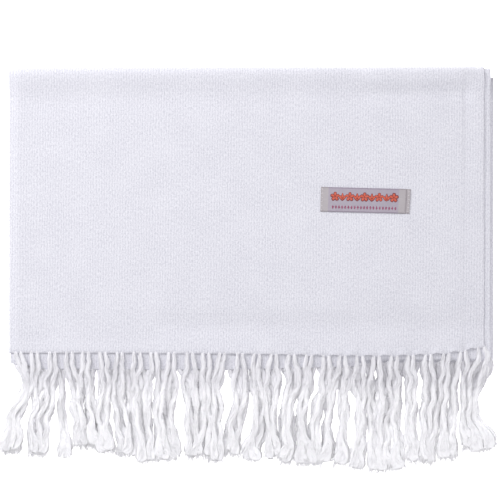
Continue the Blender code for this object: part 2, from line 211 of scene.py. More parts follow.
def toned(tree, pattern, settings):  # a pattern's colours, from dark to light
    ramp = addNode(tree, "ShaderNodeValToRGB", {"Fac": pattern})
    for stop, place, tone in zip(ramp.color_ramp.elements, settings["stops"], ("dark", "light")):
        stop.position = place
        stop.color = (*settings[tone], 1)
    return ramp.outputs["Color"]


def dress(tree, shader, settings, pattern, color=None):
    inputs = {"Strength": settings["bump"], "Distance": settings["bumpHeight"], "Height": pattern}
    tree.links.new(addNode(tree, "ShaderNodeBump", inputs).outputs["Normal"], shader.inputs["Normal"])
    if color:
        tree.links.new(color, shader.inputs["Base Color"])


weave = {
    "light": (0.752, 0.748, 0.808),
    "dark": (0.505, 0.501, 0.572),
    "stops": (0.45, 0.85),  # where the patterns' sum is dark and light
    "waveRepeat": 0.31416,  # a Wave texture at scale 1 repeats every tenth of pi
    "ribPitch": 1.98,  # from one rib to the next
    "ribLean": 0.040,  # the ribs lean by this angle
    "ribAlong": 0.25,  # how fast a rib changes along itself
    "ribDistortion": 3.5,
    "ribDetail": 2.0,
    "ribDetailScale": 0.9,
    "ribShare": 0.10,
    "bump": 0.35,
    "bumpHeight": 0.00012,
    "roughness": 0.72,
    "sheen": 0.25,
    "specular": 0.3,
}

# The weave's uneven patterns: reach across and along the cloth, detail, roughness, share.
weaveTable = [
    (0.75, 2.3, 2.0, 0.6, 0.62),  # slubs
    (0.8, 1.0, 1.0, 0.5, 0.56),  # grain
    (26.0, 26.0, 2.0, 0.5, 0.12),  # clouds
]


def makeClothMaterial():
    w = weave
    material, tree, shader = shaderMaterial("ribbed_silk", w["light"], w)
    place = clothPlace(tree)
    ribScale = w["waveRepeat"] / w["ribPitch"]
    ribs = addNode(tree, "ShaderNodeTexWave", {
        "Scale": 1.0,
        "Distortion": w["ribDistortion"],
        "Detail": w["ribDetail"],
        "Detail Scale": w["ribDetailScale"],
        "Vector": mapped(tree, place, (ribScale, ribScale * w["ribAlong"], 1), w["ribLean"]),
    }, wave_type="BANDS", bands_direction="X")
    total = mathNode(tree, "MULTIPLY", ribs.outputs["Fac"], w["ribShare"])
    for across, along, detail, rough, share in weaveTable:
        pattern = noiseOn(tree, mapped(tree, place, (1 / across, 1 / along, 1)), detail, rough)
        total = mathNode(tree, "ADD", total, mathNode(tree, "MULTIPLY", pattern, share))
    dress(tree, shader, w, total, toned(tree, total, w))
    return material


yarn = {
    "light": (0.948, 0.941, 0.974),
    "dark": (0.895, 0.888, 0.925),
    "stops": (0.30, 0.65),
    "crimpScale": (1.6, 0.45, 1),
    "paintedNeckShade": (0.865, 0.862, 0.877),  # painted shade: the yarn's colour is multiplied by this near the hems, where the stack's shadow falls
    "neckShadeFrom": -141.0,
    "neckShadeTo": -124.0,
    "roughness": 1.0,
    "sheen": 0.4,
    "specular": 0.3,
    "bump": 0.6,
    "bumpHeight": 0.0002,
}


def makeYarnMaterial():
    y = yarn
    material, tree, shader = shaderMaterial("fringe_yarn", y["light"], y)
    place = clothPlace(tree)
    crimp = noiseOn(tree, mapped(tree, place, y["crimpScale"]))
    # Painted shade: from the hems down to neckShadeTo the yarn is multiplied darker, standing in for the
    # shadow that the stack casts below the hems; it fades out by neckShadeFrom.
    neckShadeMask = addNode(tree, "ShaderNodeMapRange", {
        "Value": addNode(tree, "ShaderNodeSeparateXYZ", {"Vector": place}).outputs["Y"],
        "From Min": y["neckShadeFrom"],
        "From Max": y["neckShadeTo"],
    }, interpolation_type="SMOOTHSTEP").outputs["Result"]
    color = mixedColor(tree, neckShadeMask, toned(tree, crimp, y), (*y["paintedNeckShade"], 1), "MULTIPLY")
    dress(tree, shader, y, crimp, color)
    return material


clothMaterial = makeClothMaterial()
yarnMaterial = makeYarnMaterial()
print("materials made")


def foldedPoint(u, v, depth):  # from the flat cloth to its place in the fold
    roll = fold["rollRadius"]
    if u < fold["rollX"]:
        angle = (fold["rollX"] - u) / (roll - fold["wall"] / 2)
        x = fold["rollX"] - (roll - depth) * math.sin(angle)
        down = roll - (roll - depth) * math.cos(angle)
    else:
        x = u
        down = depth
    radius = fold["turnRadius"]
    if v > fold["turnY"]:
        angle = (v - fold["turnY"]) / (radius - depth - fold["wall"] / 2)
        y = fold["turnY"] + (radius - down) * math.sin(angle)
        z = radius + (radius - down) * math.cos(angle)
    else:
        y = v
        z = fold["stack"] - down
    return x, y, lift(x, min(y, fold["turnY"]), z)


def spaced(places, counts):  # values from place to place, in as many even steps as counts says
    values = [places[0]]
    for start, end, steps in zip(places, places[1:], counts):
        values += [mix(start, end, (k + 1) / steps) for k in range(steps)]
    return values


def linked(name, data):
    thing = bpy.data.objects.new(name, data)
    bpy.context.scene.collection.objects.link(thing)
    return thing


def addPiece(name, bm, material, smooth=False):
    mesh = bpy.data.meshes.new(name)
    bm.to_mesh(mesh)
    bm.free()
    if smooth:
        mesh.shade_smooth()
    mesh.materials.append(material)
    return linked(name, mesh)


def mapFlat(bm, clothMap, unit):  # a corner's place from above is its place on the map, in mm
    for face in bm.faces:
        for loop in face.loops:
            loop[clothMap].uv = loop.vert.co.xy / unit


def gridPlace(vert, across, along):  # which column and row of a new grid a vertex is in
    return round((vert.co.x + 0.5) * across), round((vert.co.y + 0.5) * along)


def clothGrid(name, columns, rows, placed, material, flatPoint=lambda *place: place):
    # A flat grid is cut to the sheet's own size, mapped, and then folded into place.
    bm = bmesh.new()
    lastColumn = len(columns) - 1
    lastRow = len(rows) - 1
    bmesh.ops.create_grid(bm, x_segments=lastColumn, y_segments=lastRow, size=0.5)
    for vert in bm.verts:
        i, j = gridPlace(vert, lastColumn, lastRow)
        vert.co = (*flatPoint(columns[i], rows[j]), 0.0)
    mapFlat(bm, bm.loops.layers.uv.new("clothMap"), 1.0)
    for vert in bm.verts:
        vert.co = Vector(placed(vert.co.x, vert.co.y)) * mm
    return addPiece(name, bm, material, smooth=True)


def thicken(piece, thickness, offset=-1.0):
    solid = piece.modifiers.new("thickness", "SOLIDIFY")
    solid.thickness = thickness * mm
    solid.offset = offset
    solid.use_even_offset = False
    return solid


def thinHem(piece, solid, share, width, hemName):  # the cloth is thinner within width of its hem
    group = piece.vertex_groups.new(name="fullness")
    places = {}
    for loop in piece.data.loops:
        places[loop.vertex_index] = piece.data.uv_layers["clothMap"].data[loop.index].uv
    for index, place in places.items():
        fromHem = place[1] - hemAt(place[0], hemName)
        group.add([index], mix(share, 1.0, smoothStep(fromHem / width)), "REPLACE")
    solid.vertex_group = "fullness"


hemSag = {"from": 70.0, "width": 30.0, "front": -109.5, "reach": 5.5, "most": 5.5}


def sagAt(x, y):  # at the right the second hem hangs down over the inner sheets' front
    aside = smoothStep((x - hemSag["from"]) / hemSag["width"])
    return hemSag["most"] * aside * smoothStep((hemSag["front"] - y) / hemSag["reach"])


def hemArch(x, most):  # how far a hem is drawn back between two tassels
    place = (x - tassels["first"]) / tasselPitch
    return most * math.sin(math.pi * place) ** 2


upperSheet = {
    "thickness": 0.75,
    "fineFrom": -150.0,  # the even part of its columns
    "fineTo": 160.0,
    "columnSteps": (6, 20, 210, 20),
    "rowShares": (0.0, 0.08, 0.80, 0.92, 1.0),
    "rowSteps": (18, 44, 24, 14),
    "archLeft": 0.35,
    "archRight": 2.0,
    "archFrom": -60.0,
    "archTo": 100.0,
    "archLift": 0.8,
    "archDepth": 8.0,
    "edgeDroop": 0.7,
    "edgeWidth": 3.0,
    "edgeShare": 0.35,  # of the thickness, at the hem
    "pucker": 0.35,
    "puckerFrom": 165.0,
    "puckerWidth": 10.0,
    "puckerReach": 9.0,
    "selvedgeDroop": 0.25,
    "selvedgeWidth": 1.5,
    "wobble": 0.2,
    "wobbleReach": 24.0,
}


def makeUpperSheet():
    s = upperSheet
    right = fold["upperRight"]
    rollEnd = fold["rollX"] - math.pi * (fold["rollRadius"] - fold["wall"] / 2)
    columns = spaced((rollEnd, fold["rollX"], s["fineFrom"], s["fineTo"], right), s["columnSteps"])
    turnEnd = fold["turnY"] + math.pi * (fold["turnRadius"] - fold["wall"] / 2)

    def archOf(u):
        toRight = smoothStep((u - s["archFrom"]) / (s["archTo"] - s["archFrom"]))
        return hemArch(u, mix(s["archLeft"], s["archRight"], toRight))

    def flatPoint(u, share):
        return u, mix(hemAt(u, "upper") + archOf(u), turnEnd, share)

    def placed(u, v):
        x, y, z = foldedPoint(u, v, 0.0)
        fromHem = v - hemAt(u, "upper")
        if fromHem < s["archDepth"]:
            z += s["archLift"] * archOf(u) * smoothStep(1 - fromHem / s["archDepth"])
            z -= s["edgeDroop"] * smoothStep(1 - fromHem / s["edgeWidth"])
        z -= s["selvedgeDroop"] * smoothStep(1 - (right - u) / s["selvedgeWidth"])
        aside = smoothStep((x - s["puckerFrom"]) / s["puckerWidth"])
        x += s["pucker"] * ripple(0, v, seed=3.0, reach=s["puckerReach"]) * aside
        z += s["wobble"] * ripple(u, v, seed=7.0, reach=s["wobbleReach"])
        return x, y, max(z, fold["floorGap"])

    rows = spaced(s["rowShares"], s["rowSteps"])
    piece = clothGrid("upper_sheet", columns, rows, placed, clothMaterial, flatPoint)
    thinHem(piece, thicken(piece, s["thickness"]), s["edgeShare"], s["edgeWidth"], "upper")
    return piece, (columns[-1] - columns[0], turnEnd - hemAt(0, "upper"))


secondSheet = {
    "thickness": 0.75,
    "leftInset": 0.1,
    "fineFrom": -160.0,
    "fineTo": 170.0,
    "columnSteps": (10, 230, 14),
    "rowShares": (0.0, 0.07, 0.92, 1.0),
    "rowSteps": (22, 22, 14),
    "arch": 0.8,
    "edgeDroop": 0.3,
    "edgeWidth": 1.5,
    "coveredFrom": 4.0,  # it stays smooth this far under the upper sheet
    "wobble": 0.1,
    "wobbleReach": 20.0,
}


def makeSecondSheet():
    s = secondSheet
    right = fold["secondRight"]
    depth = fold["pitch"]
    columns = spaced((fold["rollX"] + s["leftInset"], s["fineFrom"], s["fineTo"], right), s["columnSteps"])
    turnEnd = fold["turnY"] + math.pi * (fold["turnRadius"] - depth - fold["wall"] / 2)

    def flatPoint(u, share):
        return u, mix(hemAt(u, "second") + hemArch(u, s["arch"]), turnEnd, share)

    def placed(u, v):
        x, y, z = foldedPoint(u, v, depth)
        fromHem = v - hemAt(u, "second")
        z -= s["edgeDroop"] * smoothStep(1 - fromHem / s["edgeWidth"])
        z -= s["edgeDroop"] * smoothStep(1 - (right - u) / s["edgeWidth"])
        z -= sagAt(u, v)
        if fold["upperRight"] - s["coveredFrom"] > u and v > hemAt(u, "upper") + s["coveredFrom"]:
            return x, y, z
        return x, y, z + s["wobble"] * ripple(u, v, seed=11.0, reach=s["wobbleReach"])

    rows = spaced(s["rowShares"], s["rowSteps"])
    piece = clothGrid("second_sheet", columns, rows, placed, clothMaterial, flatPoint)
    thicken(piece, s["thickness"])
    return piece, (columns[-1] - columns[0], turnEnd - hemAt(0, "second"))


innerSheets = {
    "width": 352.0,  # of each half of the doubled cloth, laid flat
    "thickness": 0.5,
    "level": 0.717,  # one inner sheet's share of the height
    "floorHeight": 0.95,  # of the pass that lies on the floor
    "floorSpread": 0.6,  # half the distance of its two sheets
    "backInset": 0.2,
    "backStart": 0.5,
    "frontInset": 1.0,
    "edgePlaces": (0.0, 0.06, 0.94, 1.0),
    "edgeSteps": (5, 16, 5),
    "foldPlaces": (-0.8, -0.5, -0.2),  # the fold that joins the two sheets at the left
    "left": -173.4,
    "rightTop": 178.0,
    "rightSpread": 6.0,
    "spreadBelow": 7.0,
    "unevenEdge": 1.2,
    "layerRipple": 9.0,  # how much a layer's edge differs from the next one's
    "leftReach": 10.0,
    "rightReach": 7.0,
    "rightShare": 0.6,
    "alongReach": 30.0,
    "alongShare": 0.4,
}

# The doubled cloth's passes between back and front: level above the stack's middle (the first lies on
# the floor), how far its front end stays back, its steps, and the steps of the turn that follows.
passTable = [
    (0, 0.0, 12, 9),
    (-1, 0.0, 12, 6),
    (1, 0.5, 12, 6),
    (3, 0.0, 12, 8),
    (-3, 2.0, 12, 6),
    (-5, 0.0, 12, 10),
    (5, -1.0, 14, 0),
]


def innerRoute():
    # The doubled cloth's way through the fold, as (y, height, half the distance of its two sheets).
    s = innerSheets
    back = fold["turnY"] - s["backInset"]
    front = fold["hiddenFront"] + s["frontInset"]
    heights = [fold["turnRadius"] + s["level"] * row[0] for row in passTable]
    heights[0] = s["floorHeight"]
    spreads = [s["level"] / 2] * len(passTable)
    spreads[0] = s["floorSpread"]
    start = back - s["backStart"]
    points = []
    for k, (_, inset, steps, turnSteps) in enumerate(passTable):
        way = 1 if k % 2 else -1
        end = back if way > 0 else front + inset
        for j in range(steps + 1):
            points.append((mix(start, end, j / steps), heights[k], spreads[k]))
        for j in range(1, turnSteps):
            angle = math.pi * (j / turnSteps - 0.5)
            radius = (heights[k + 1] - heights[k]) / 2
            y = end + way * abs(radius) * math.cos(angle)
            z = (heights[k] + heights[k + 1]) / 2 + radius * math.sin(angle)
            points.append((y, z, mix(spreads[k], spreads[k + 1], j / turnSteps)))
        start = end
    return points


def makeInnerSheets():
    s = innerSheets
    route = np.array(innerRoute())
    lengths = np.concatenate([[0], np.cumsum(np.hypot(*np.diff(route[:, :2], axis=0).T))])
    edgeShares = spaced(s["edgePlaces"], s["edgeSteps"])
    columns = [-1 - share for share in reversed(edgeShares)]  # the lower sheet of the double
    columns += s["foldPlaces"]
    columns += edgeShares

    def placed(u, v):
        row = int(np.argmin(np.abs(lengths - v)))
        y, z, half = route[row]
        along = route[min(row + 1, len(route) - 1)][:2] - route[max(row - 1, 0)][:2]
        along = along / np.hypot(*along)
        if u >= 0:
            share, side, out = u, 1.0, 0.0
        elif u <= -1:
            share, side, out = -1 - u, -1.0, 0.0
        else:
            share, side, out = 0.0, math.cos(-math.pi * u), math.sin(-math.pi * u)
        layer = z * s["layerRipple"]
        left = s["left"] + s["unevenEdge"] * ripple(0, layer, seed=2.0, reach=s["leftReach"])
        right = s["rightTop"] + s["rightSpread"] * smoothStep(1 - z / s["spreadBelow"])
        uneven = ripple(0, layer + side * 3, seed=5.0, reach=s["rightReach"])
        uneven += s["alongShare"] * ripple(0, y, seed=z, reach=s["alongReach"])
        right += s["rightShare"] * s["unevenEdge"] * uneven
        x = mix(left, right, share) - out * half
        y = y - along[1] * side * half
        z = z + along[0] * side * half
        return x, y, max(lift(x, min(y, fold["turnY"]), z), s["thickness"] / 2 + fold["floorGap"])

    piece = clothGrid("inner_sheets", columns, lengths, placed, clothMaterial)
    for loop in piece.data.uv_layers["clothMap"].data:
        loop.uv = (loop.uv[0] * s["width"], loop.uv[1])
    thicken(piece, s["thickness"], 0.0)
    return piece, (2 * s["width"], float(lengths[-1]))


upperPiece, upperCut = makeUpperSheet()
secondPiece, secondCut = makeSecondSheet()
innerPiece, innerCut = makeInnerSheets()
print("sheets folded", upperCut, secondCut, innerCut)


# Locks that the strands gather into, from the left: where their stretch of hem ends, their sides just
# below the second hem, half way down and at the tips, and how far below the upper hem the tips reach.
lockTable = [
    (-158, -165, -156, -173, -165, -186, -167, 75),
    (-140, -156, -140, -158, -144, -163, -148, 76),
    (-135, -140, -135, -140, -135, -143, -127, 79),
    (-120, -132, -120, -129, -120, -129, -117, 69),
    (-110, -120, -115, -116, -112, -118, -110, 72),
    (-98, -109, -99, -110, -103, -111, -98, 75),
    (-82, -100, -83, -98, -84, -97, -80, 77),
    (-67, -83, -70, -84, -70, -80, -67, 81),
    (-51, -67, -53, -67, -54, -69, -50, 80),
    (-30, -46, -30, -45, -30, -46, -32, 77),
    (-15, -30, -17, -29, -18, -32, -17, 80),
    (0, -11, 0, -11, -1, -17, -6, 76),
    (11, 4, 12, 6, 13, -3, 12, 81),
    (25, 12, 24, 13, 23, 14, 25, 79),
    (42, 28, 40, 28, 34, 24, 35, 82),
    (52, 40, 48, 39, 43, 35, 48, 83),
    (62, 54, 62, 50, 55, 45, 56, 84),
    (70, 62, 68, 60, 64, 54, 64, 81),
    (78, 70, 77, 70, 76, 64, 76, 83),
    (88, 79, 88, 83, 87, 76, 88, 86),
    (107, 89, 107, 90, 108, 89, 108, 88),
    (116, 108, 114, 109, 114, 108, 118, 88),
    (129, 118, 126, 119, 126, 117, 128, 81),
    (146, 131, 145, 129, 143, 128, 141, 82),
    (159, 146, 156, 143, 156, 141, 157, 80),
    (180, 160, 175, 159, 171, 158, 188, 73),
]

# One row of tassels for each fringed sheet, from the lowest up: the depth of its sheet, how far its
# tassels stand aside (in tassel pitches), how near its outermost strands keep to a lock's sides, the
# strands' girth, where they start to bend down, how much shorter they are, and its random seed.
fringeColumns = ("name", "depth", "aside", "outermost", "girth", "bend", "short", "seed")
fringeTable = [
    ("fourth_fringe", 4.3, 0.42, 0.3, 1.4, -121, 3.0, 4),
    ("third_fringe", 2.95, -0.05, 1.0, 1.4, -119, 3.0, 3),
    ("second_fringe", 1.3, 0.2, 0.0, 1.15, -114, 0.5, 2),
    ("upper_fringe", 0.0, 0.0, 1.0, 1.0, -107, 0.0, 1),
]

strands = {
    "pinchDown": 21.0,  # how far below the upper hem each level of the locks lies
    "halfDown": 39.0,
    "spacings": (2.7, 2.7, 3.3),  # between neighbours, at the two levels and the tips
    "spreadPasses": 120,
    "shareJitter": 0.12,
    "stray": 0.9,  # of a strand from its even place in its lock
    "lengthVariation": 4.0,
    "bendEnd": -156.0,  # where the strands have come down to the floor
    "over": 2.6,  # how far the strands start above their hem, out of the weave
    "overLength": 4.0,  # in which they come to their full girth
    "hemDroop": 0.6,  # share of the upper sheet's droop that they start lower by
    "width": 3.4,
    "height": 1.1,
    "neckWidth": 2.25,
    "neckHeight": 1.2,
    "neckLength": 9.0,
    "tuftShare": 1.45,  # of its even share of the lock's tip
    "tuftLeast": 6.0,
    "tuftMost": 12.0,
    "tuftHeight": 0.65,
    "tuftLength": 25.0,
    "tipLength": 4.5,  # where a tuft's outline closes
    "thinTip": 14.0,  # where it grows thin
    "thinShare": 0.35,
    "bulge": 3.0,  # of the last tassels to the right
    "bulgeFrom": 168.0,
    "bulgeWidth": 6.0,
    "bulgeDown": 26.0,
    "calm": 16.0,  # in which the sway begins
    "sway": 2.0,
    "swayLength": 15.0,
    "sharedSway": 1.5,
    "ownSway": 1.2,
    "ownLength": 0.7,  # of the shared sway's length
    "stations": [0.0, 0.05, 0.12, 0.2, 0.3, 0.4, 0.5, 0.6, 0.7, 0.8, 0.9, 1.0],
    "betweenStations": (0.0, 0.25, 0.5, 0.75),
    "touching": 0.6,  # share of a strand's width within which it lies on another
    "sink": 0.78,  # share of a strand's height that it sinks into those below
    "slope": 0.3,  # steepest rise where one strand crosses another
    "clothEdge": 1.0,  # the second sheet carries strands this far past its hem
    "coveredSteps": 5,
    "smoothings": 4,
    "floor": 0.15,
    "around": 8,
    "steps": 56,
    "crimp": 0.18,  # unevenness of the skin
    "crimpCore": 0.4,  # radius inside which it grows no more
    "wander": 0.2,  # unevenness of the centre line
    "wanderUp": 0.5,  # share of it upwards
    "clear": 0.03,  # of the skin from the floor
}


def lockOf(x):
    for lock in lockTable:
        if x < lock[0]:
            return lock
    return lockTable[-1]


def spreadOut(places, least):
    places = list(places)
    for _ in range(strands["spreadPasses"]):
        for k in range(len(places) - 1):
            short = least - (places[k + 1] - places[k])
            if short > 0:
                places[k] -= short / 2
                places[k + 1] += short / 2
    return places


def hemOf(row, x):
    if row["name"] == "upper_fringe":
        return hemAt(x, "upper")
    if row["name"] == "second_fringe":
        return hemAt(x, "second")
    return fold["hiddenFront"] - fold["gap"]


def either(chance, most):  # at random, by up to most to either side
    return chance.uniform(-most, most)


def unevenGrid(chance, rows, columns):
    return np.array([[either(chance, 1) for _ in range(columns)] for _ in range(rows)])


def strandWays(row, chance):
    # Where each strand of a row runs, at its hem, at the two levels of the locks and at its tip.
    s = strands
    necks = []
    for n in range(tassels["count"]):
        centre = tassels["first"] + (n + row["aside"]) * tasselPitch
        centre += either(chance, tassels["jitter"])
        for side in (-1, 1):
            necks.append(centre + side * tassels["aside"] + either(chance, tassels["neckJitter"]))
    locks = [lockOf(neck) for neck in necks]
    levels = ([], [], [])
    ways = []
    for k, (neck, lock) in enumerate(zip(necks, locks)):
        pinch0, pinch1, half0, half1, tip0, tip1, reach = lock[1:]
        place = k - locks.index(lock)
        count = locks.count(lock)
        share = (place + 0.5) / count
        if count > 1:
            share = mix(share, place / (count - 1), row["outermost"])
        share += either(chance, s["shareJitter"]) / count
        share = min(max(share, 0.0), 1.0)
        stray = either(chance, s["stray"])
        inset = s["width"] / 2
        tuft = min(max(s["tuftShare"] * (tip1 - tip0) / count, s["tuftLeast"]), s["tuftMost"])
        levels[0].append(mix(pinch0 + inset, pinch1 - inset, share) + stray)
        levels[1].append(mix(half0 + inset, half1 - inset, share) - stray)
        levels[2].append(mix(tip0 + tuft / 2, tip1 - tuft / 2, share))
        start = hemAt(0, "upper") - hemOf(row, neck) - s["over"]
        length = reach - start - row["short"] - chance.uniform(0, s["lengthVariation"])
        ways.append({
            "neck": neck,
            "length": length,
            "drops": [0.0, s["pinchDown"] - start, s["halfDown"] - start, length],
            "bulge": s["bulge"] * smoothStep((neck - s["bulgeFrom"]) / s["bulgeWidth"]),
            "girth": row["girth"],
            "tuft": tuft,
        })
    for way, *places in zip(ways, *map(spreadOut, levels, s["spacings"])):
        way["places"] = [way["neck"], *places]
        way["drift"] = chance.uniform(0, 100)
    return ways


def smoothThrough(drops, places, drop):  # a smooth curve through the knots, straight down at first
    k = 0
    while k < len(drops) - 2 and drop > drops[k + 1]:
        k += 1
    slopes = [0.0]
    for j in range(1, len(drops) - 1):
        slopes.append((places[j + 1] - places[j - 1]) / (drops[j + 1] - drops[j - 1]))
    slopes.append((places[-1] - places[-2]) / (drops[-1] - drops[-2]))
    span = drops[k + 1] - drops[k]
    t = (drop - drops[k]) / span
    fromStart = (1 + 2 * t) * (1 - t) ** 2 * places[k] + t * (1 - t) ** 2 * span * slopes[k]
    return fromStart + t * t * (3 - 2 * t) * places[k + 1] - t * t * (1 - t) * span * slopes[k + 1]


def wayX(way, drop):
    s = strands
    x = smoothThrough(way["drops"], way["places"], drop)
    if 0 < drop < s["bulgeDown"]:
        x += way["bulge"] * math.sin(math.pi * drop / s["bulgeDown"])
    shared = ripple(x, drop, seed=21.0, reach=s["swayLength"])
    own = ripple(way["drift"], drop, seed=5.0, reach=s["swayLength"] * s["ownLength"])
    return x + smoothStep(drop / s["calm"]) * s["sway"] * (s["sharedSway"] * shared + s["ownSway"] * own)


def clothTop(row, x, y):  # the second sheet, which the upper row lies across
    if row["name"] != "upper_fringe" or y < hemAt(x, "second") - strands["clothEdge"]:
        return 0.0
    return lift(x, y, fold["stack"] - fold["pitch"]) - sagAt(x, y)


def laidStrand(row, way, placed):
    # Stations along the strand, (x, y, z), no lower than what lies below them.
    s = strands
    hem = hemOf(row, way["neck"]) + s["over"]
    startZ = lift(way["neck"], hem, fold["stack"] - row["depth"]) - upperSheet["edgeDroop"] * s["hemDroop"]
    drops = [share * way["length"] for share in s["stations"]]
    points = np.array([(wayX(way, drop), hem - drop, 0.0) for drop in drops])
    half = s["height"] / 2
    fall = np.array([smoothStep((row["bend"] - y) / (row["bend"] - s["bendEnd"])) for y in points[:, 1]])
    heights = mix(startZ, s["floor"] + half, fall)
    if row["depth"] > 0:
        heights -= (1 - fall) * np.array([sagAt(x, y) for x, y, _ in points])
    needs = np.zeros(len(points))
    for k in range(len(points) - 1):
        for t in s["betweenStations"]:
            x, y, _ = mix(points[k], points[k + 1], t)
            top = clothTop(row, x, y)
            if top > 0:
                top += half
            if len(placed):
                away = np.hypot(placed[:, 0] - x, placed[:, 1] - y)
                under = away < s["width"] * s["touching"]
                if under.any():
                    top = max(top, placed[under, 2].max() + half - s["sink"] * s["height"])
            needs[k] = max(needs[k], top)
            needs[k + 1] = max(needs[k + 1], top)
    heights[1:] = np.maximum(heights, needs)[1:]
    last = len(points) - 1
    steps = [(k, k - 1) for k in range(1, last + 1)] + [(k, k + 1) for k in range(last - 1, 0, -1)]
    for k, near in steps:
        reach = abs(points[near, 1] - points[k, 1])
        heights[k] = max(heights[k], heights[near] - s["slope"] * reach)
    points[:, 2] = heights
    return points


def coveredPoints(points):
    half = strands["height"] / 2
    covered = []
    for one, two in zip(points, points[1:]):
        for t in np.linspace(0, 1, strands["coveredSteps"]):
            x, y, z = mix(one, two, t)
            covered.append((x, y, z + half))
    return covered


def centreLine(way, points):
    # A smooth line down the strand. Its heights come from the stations, its sway from the way.
    t = np.linspace(0, 1, strands["steps"] + 1)
    hem = points[0][1]
    heights = np.interp(t, strands["stations"], points[:, 2])
    for _ in range(strands["smoothings"]):
        heights[1:-1] = 0.25 * heights[:-2] + 0.5 * heights[1:-1] + 0.25 * heights[2:]
    drops = t * way["length"]
    return np.array([(wayX(way, d), hem - d, z) for d, z in zip(drops, heights)])


def strandFrame(line):  # unit vectors across and up, at each point of a line
    ahead = np.gradient(line, axis=0)
    ahead /= np.linalg.norm(ahead, axis=1)[:, None]
    across = np.cross(ahead, (0, 0, 1))
    across /= np.linalg.norm(across, axis=1)[:, None]
    return across, np.cross(across, ahead)


def strandHalves(way, length, drops):  # half width and half height down a strand
    s = strands
    neck = np.array([smoothStep(d / s["neckLength"]) for d in drops])
    tuft = np.array([smoothStep((d - length + s["tuftLength"]) / s["tuftLength"]) for d in drops])
    left = np.clip((length - drops) / s["tipLength"], 0, 1)
    closing = np.sqrt(1 - (1 - left) ** 2)
    done = np.clip(drops / s["overLength"], 0, 1)
    closing *= np.sqrt(1 - (1 - done) ** 2)
    wide = mix(mix(s["neckWidth"], s["width"], neck) * way["girth"], way["tuft"], tuft)
    high = mix(s["neckHeight"], s["height"], neck) + (s["tuftHeight"] - s["height"]) * tuft
    thin = mix(s["thinShare"], 1.0, np.clip((length - drops) / s["thinTip"], 0, 1))
    return wide / 2 * closing, high / 2 * closing * thin


def addSkin(bm, way, line, chance):
    # The strand's body: a flat grid as long as the strand, rolled round its centre line.
    s = strands
    steps = s["steps"]
    around = s["around"]
    across, upward = strandFrame(line)
    wide, high = strandHalves(way, way["length"], np.linspace(0, way["length"], steps + 1))
    angles = np.linspace(0, 2 * math.pi, around + 1)
    uneven = unevenGrid(chance, steps + 1, around)
    uneven = np.concatenate([uneven, uneven[:, :1]], axis=1)
    out = np.stack([wide[:, None] * np.cos(angles), high[:, None] * np.sin(angles)], axis=2)
    size = np.linalg.norm(out, axis=2)
    out *= 1 + (s["crimp"] * uneven / np.maximum(size, s["crimpCore"]))[:, :, None]
    wander = unevenGrid(chance, steps + 1, 2) * s["wander"]
    wander[0] = 0
    centre = line + across * wander[:, :1] + upward * wander[:, 1:] * s["wanderUp"]
    rings = centre[:, None, :] + across[:, None, :] * out[:, :, :1] + upward[:, None, :] * out[:, :, 1:]
    rings[:, :, 2] = np.maximum(rings[:, :, 2], s["clear"])
    for vert in bmesh.ops.create_grid(bm, x_segments=around, y_segments=steps, size=0.5)["verts"]:
        i, j = gridPlace(vert, around, steps)
        vert.co = Vector(rings[j, i]) * mm


plies = {
    "count": 5,
    "radius": 0.28,
    "steps": 41,
    "roam": 3.2,  # how far round the strand a ply strays, in radians
    "roamLength": 14.0,
    "start": (0.1, 0.9),  # in its even share of the strand's upper side
    "crimp": 0.16,
    "out": 1.06,  # of the strand's own half width and height
}


def addThread(curve, points, radii):
    spline = curve.splines.new("POLY")
    spline.points.add(len(points) - 1)
    flat = np.ones((len(points), 4))
    flat[:, :3] = np.array(points) * mm
    spline.points.foreach_set("co", flat.ravel())
    spline.points.foreach_set("radius", radii)


def addPlies(curve, way, line, chance):  # loose plies round the body of a strand
    p = plies
    length = way["length"]
    drops = np.linspace(0, length, p["steps"] + 1)
    lineDrops = np.linspace(0, length, len(line))
    path = np.stack([np.interp(drops, lineDrops, line[:, k]) for k in range(3)], axis=1)
    across, upward = strandFrame(path)
    wide, high = strandHalves(way, length + strands["tipLength"], drops)
    for k in range(p["count"]):
        seed = chance.uniform(0, 500)
        start = math.pi * (k + chance.uniform(*p["start"])) / p["count"]
        roam = np.array([ripple(seed, d, seed=1.0, reach=p["roamLength"]) for d in drops])
        angle = start + p["roam"] * roam
        loose = p["out"] + unevenGrid(chance, len(drops), 1)[:, 0] * p["crimp"]
        ply = path + across * (wide * loose * np.cos(angle))[:, None]
        ply += upward * (high * loose * np.sin(angle))[:, None]
        ply[:, 2] = np.maximum(ply[:, 2], p["radius"] + strands["clear"])
        addThread(curve, ply, np.ones(len(drops)))


looseEnds = {
    "count": 30,
    "radius": 0.25,
    "thinned": 0.6,  # share of the radius at the end
    "points": 5,
    "from": (0.2, 0.8),  # where in the tuft they begin
    "past": (-4.0, 4.4),  # how far past the tip they reach
    "aside": 0.64,  # of the tuft's width
    "fan": 1.3,  # how late they spread
    "bend": 0.5,
    "bendTurn": 1.7,
    "rise": 0.3,
    "height": (0.2, 1.6),
    "least": 0.2,
}

strayHairs = {
    "count": 20,
    "radius": 0.11,
    "length": 4.5,
    "points": 4,
    "from": (0.12, 0.85),
    "aside": (0.55, 0.85),  # of the strand's width
    "arcFrom": 0.15,
    "arc": 0.7,
    "rise": 0.5,
    "least": 0.15,
}


